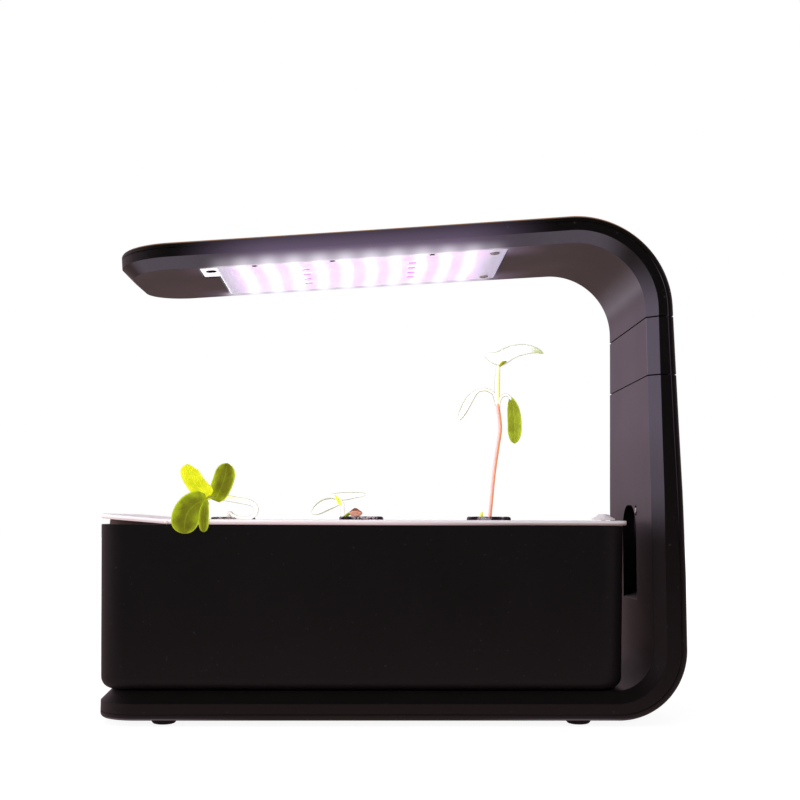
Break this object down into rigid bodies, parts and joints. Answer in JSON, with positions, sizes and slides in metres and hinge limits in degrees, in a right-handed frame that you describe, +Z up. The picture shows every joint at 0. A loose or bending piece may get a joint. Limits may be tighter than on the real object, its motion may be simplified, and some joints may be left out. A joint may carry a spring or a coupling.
{
  "type": "countertop hydroponic garden",
  "caption": "Countertop hydroponic garden: a water tank with a planting tray and seedling pods on a bent stand whose arm carries an LED grow lamp.",
  "frame": {"origin": "centre of the footprint, on the table", "axes": "+X towards the column, +Y away from the picture's viewer, +Z up"},
  "size_m": [0.3, 0.12, 0.2641],
  "materials": {
    "housing": "fine-grained satin black",
    "foot_rubber": "matt",
    "screw": "satin",
    "circuit_board": "lacquered",
    "contact_plastic": "satin",
    "wire": "satin",
    "led_board": "lacquered white",
    "tank_plastic": "soft gloss black",
    "tray_plastic": "soft gloss white",
    "float_foam": "closed-cell foam",
    "cup_plastic": "satin",
    "grow_foam": "damp pressed fibre",
    "leaf": "soft satin leaf"
  },
  "bodies": {
    "stand": {"stand_shell": "housing", "stand_cover": "housing", "foot_front_left": "foot_rubber", "foot_front_right": "foot_rubber", "foot_rear_left": "foot_rubber", "foot_rear_right": "foot_rubber", "stand_screw_front_left": "screw", "stand_screw_rear_left": "screw", "stand_screw_front_right": "screw", "stand_screw_rear_right": "screw", "column_screw": "screw", "driver_board": "circuit_board", "power_jack": "contact_plastic", "column_socket": "contact_plastic", "stand_lead": "wire"},
    "extension": {"extension_shell": "housing", "extension_cover": "housing", "extension_core": "contact_plastic", "extension_screw_front": "screw", "extension_screw_rear": "screw", "extension_link": "contact_plastic"},
    "lamp": {"arm_shell": "housing", "arm_cover": "housing", "arm_core": "contact_plastic", "arm_plug": "contact_plastic", "led_board": "led_board", "led_screw_front": "screw", "led_screw_rear": "screw", "arm_screw_right": "screw", "arm_screw_left": "screw", "arm_lead": "wire"},
    "tank": {"tank": "tank_plastic"},
    "tray": {"tray": "tray_plastic", "flap_pin": "screw"},
    "flap": {"fill_flap": "tray_plastic"},
    "float": {"float_indicator": "tray_plastic", "float_body": "float_foam"},
    "pod_left": {"net_cup_left": "cup_plastic", "foam_plug_left": "grow_foam", "seedling_left": "leaf"},
    "pod_middle": {"net_cup_middle": "cup_plastic", "foam_plug_middle": "grow_foam", "seedling_middle": "leaf"},
    "pod_right": {"net_cup_right": "cup_plastic", "foam_plug_right": "grow_foam", "seedling_right": "leaf"}
  },
  "joints": [
    {"name": "extension_lift", "type": "slide", "parent": "stand", "child": "extension", "axis": [0, 0, 1], "range_m": [0, 0.018]},
    {"name": "lamp_lift", "type": "slide", "parent": "extension", "child": "lamp", "axis": [0, 0, 1], "range_m": [0, 0.018]},
    {"name": "tank_slide", "type": "slide", "parent": "stand", "child": "tank", "axis": [-1, 0, 0], "range_m": [0, 0.06]},
    {"name": "tray_lift", "type": "slide", "parent": "tank", "child": "tray", "axis": [0, 0, 1], "range_m": [0, 0.016]},
    {"name": "flap_hinge", "type": "hinge", "parent": "tray", "child": "flap", "pos_m": [-0.115, 0, 0.1021], "axis": [0, 1, 0], "range_deg": [-4.4, 80]},
    {"name": "float_rise", "type": "slide", "parent": "tray", "child": "float", "axis": [0, 0, 1], "range_m": [0, 0.01]},
    {"name": "pod_left_lift", "type": "slide", "parent": "tray", "child": "pod_left", "axis": [0, 0, 1], "range_m": [0, 0.016]},
    {"name": "pod_middle_lift", "type": "slide", "parent": "tray", "child": "pod_middle", "axis": [0, 0, 1], "range_m": [0, 0.016]},
    {"name": "pod_right_lift", "type": "slide", "parent": "tray", "child": "pod_right", "axis": [0, 0, 1], "range_m": [0, 0.016]}
  ]
}
